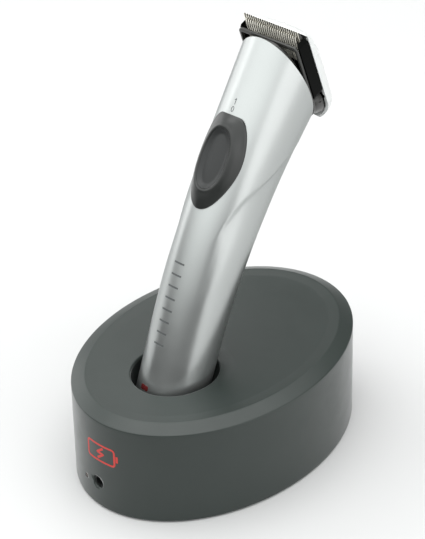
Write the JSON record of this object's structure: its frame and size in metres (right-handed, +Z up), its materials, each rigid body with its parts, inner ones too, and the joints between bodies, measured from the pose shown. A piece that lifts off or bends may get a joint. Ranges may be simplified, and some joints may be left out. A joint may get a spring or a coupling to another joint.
{
  "type": "cordless hair trimmer in charging stand",
  "caption": "Cordless hair trimmer with a curved silver handle, thumb slide switch and tilting blade set, leaning in the socket of an oval charging stand.",
  "frame": {"origin": "middle of the stand's footprint, on the surface the rubber feet stand on", "axes": "+Z up, +X to the object's right-hand side seen from the front, -Y out of the front with the charging jack and the switch"},
  "size_m": [0.1036, 0.144, 0.1875],
  "materials": {
    "slate_plastic": "fine satin moulded plastic, dark grey-green",
    "cover_plastic": "matt moulded plastic",
    "foot_rubber": "matt",
    "screw_steel": "zinc plated",
    "black_plastic": "satin",
    "gloss_black": "high gloss",
    "contact_brass": "polished",
    "contact_nickel": "nickel plated",
    "board_green": "solder mask",
    "ballast_steel": "plain mill finish",
    "amber_lens": "clear tinted",
    "red_lens": "clear tinted",
    "silver_paint": "satin silver lacquer over plastic",
    "chassis_plastic": "matt",
    "cell_wrap": "shrink wrap",
    "switch_plastic": "satin",
    "pad_rubber": "soft touch",
    "neck_plastic": "satin",
    "white_plastic": "semi gloss",
    "blade_steel": "ground"
  },
  "bodies": {
    "stand": {"stand_housing": "slate_plastic", "stand_bottom_cover": "cover_plastic", "socket_well": "slate_plastic", "rubber_foot_front_left": "foot_rubber", "rubber_foot_front_right": "foot_rubber", "rubber_foot_back_left": "foot_rubber", "rubber_foot_back_right": "foot_rubber", "cover_screw_front_left": "screw_steel", "cover_screw_front_right": "screw_steel", "cover_screw_back_left": "screw_steel", "cover_screw_back_right": "screw_steel", "contact_holder": "black_plastic", "contact_barrel_left": "contact_brass", "contact_barrel_right": "contact_brass", "charging_board": "board_green", "ballast_plate": "ballast_steel", "dc_jack": "black_plastic", "dc_jack_pin": "contact_nickel", "status_light": "amber_lens"},
    "contact_pin_left": {"contact_pin_left": "contact_brass"},
    "contact_pin_right": {"contact_pin_right": "contact_brass"},
    "trimmer": {"outer_sleeve": "silver_paint", "end_cap": "black_plastic", "end_contact_left": "contact_nickel", "end_contact_right": "contact_nickel", "indicator_light": "red_lens", "chassis": "chassis_plastic", "battery_cell": "cell_wrap", "battery_tab_bottom": "contact_nickel", "battery_tab_top": "contact_nickel", "control_board": "board_green", "slide_switch": "contact_nickel", "motor": "contact_nickel", "motor_bracket": "chassis_plastic", "motor_screw_left": "screw_steel", "motor_screw_right": "screw_steel", "head_neck": "neck_plastic"},
    "switch": {"switch_slider": "switch_plastic", "thumb_pad": "pad_rubber"},
    "crank": {"motor_shaft": "screw_steel", "eccentric_cam": "black_plastic"},
    "blade_set": {"blade_carrier": "gloss_black", "back_cover": "white_plastic", "comb_blade": "blade_steel", "comb_screw_left": "screw_steel", "comb_screw_right": "screw_steel", "tension_spring": "screw_steel"},
    "cutter": {"cutter_blade": "blade_steel", "cutter_follower": "white_plastic"}
  },
  "joints": [
    {"name": "trimmer_lift", "type": "slide", "parent": "stand", "child": "trimmer", "axis": [0, 0.3827, 0.9239], "range_m": [0, 0.06]},
    {"name": "contact_pin_left_press", "type": "slide", "parent": "stand", "child": "contact_pin_left", "axis": [0, 0.3827, 0.9239], "range_m": [-0.0015, 0], "stiffness_N_per_m": 150, "springref_m": 0.0008},
    {"name": "contact_pin_right_press", "type": "slide", "parent": "stand", "child": "contact_pin_right", "axis": [0, 0.3827, 0.9239], "range_m": [-0.0015, 0], "stiffness_N_per_m": 150, "springref_m": 0.0008},
    {"name": "switch_slide", "type": "slide", "parent": "trimmer", "child": "switch", "axis": [0, 0.5373, 0.8434], "range_m": [0, 0.0035]},
    {"name": "crank_spin", "type": "hinge", "parent": "trimmer", "child": "crank", "pos_m": [0, 0.02888, 0.13328], "axis": [0, 0.6137, 0.7896], "continuous": true},
    {"name": "blade_set_hinge", "type": "hinge", "parent": "trimmer", "child": "blade_set", "pos_m": [0, 0.06174, 0.13918], "axis": [-1, 0, 0], "range_deg": [0, 40]},
    {"name": "cutter_slide", "type": "slide", "parent": "blade_set", "child": "cutter", "axis": [1, 0, 0], "range_m": [-0.0009, 0.0009]}
  ]
}
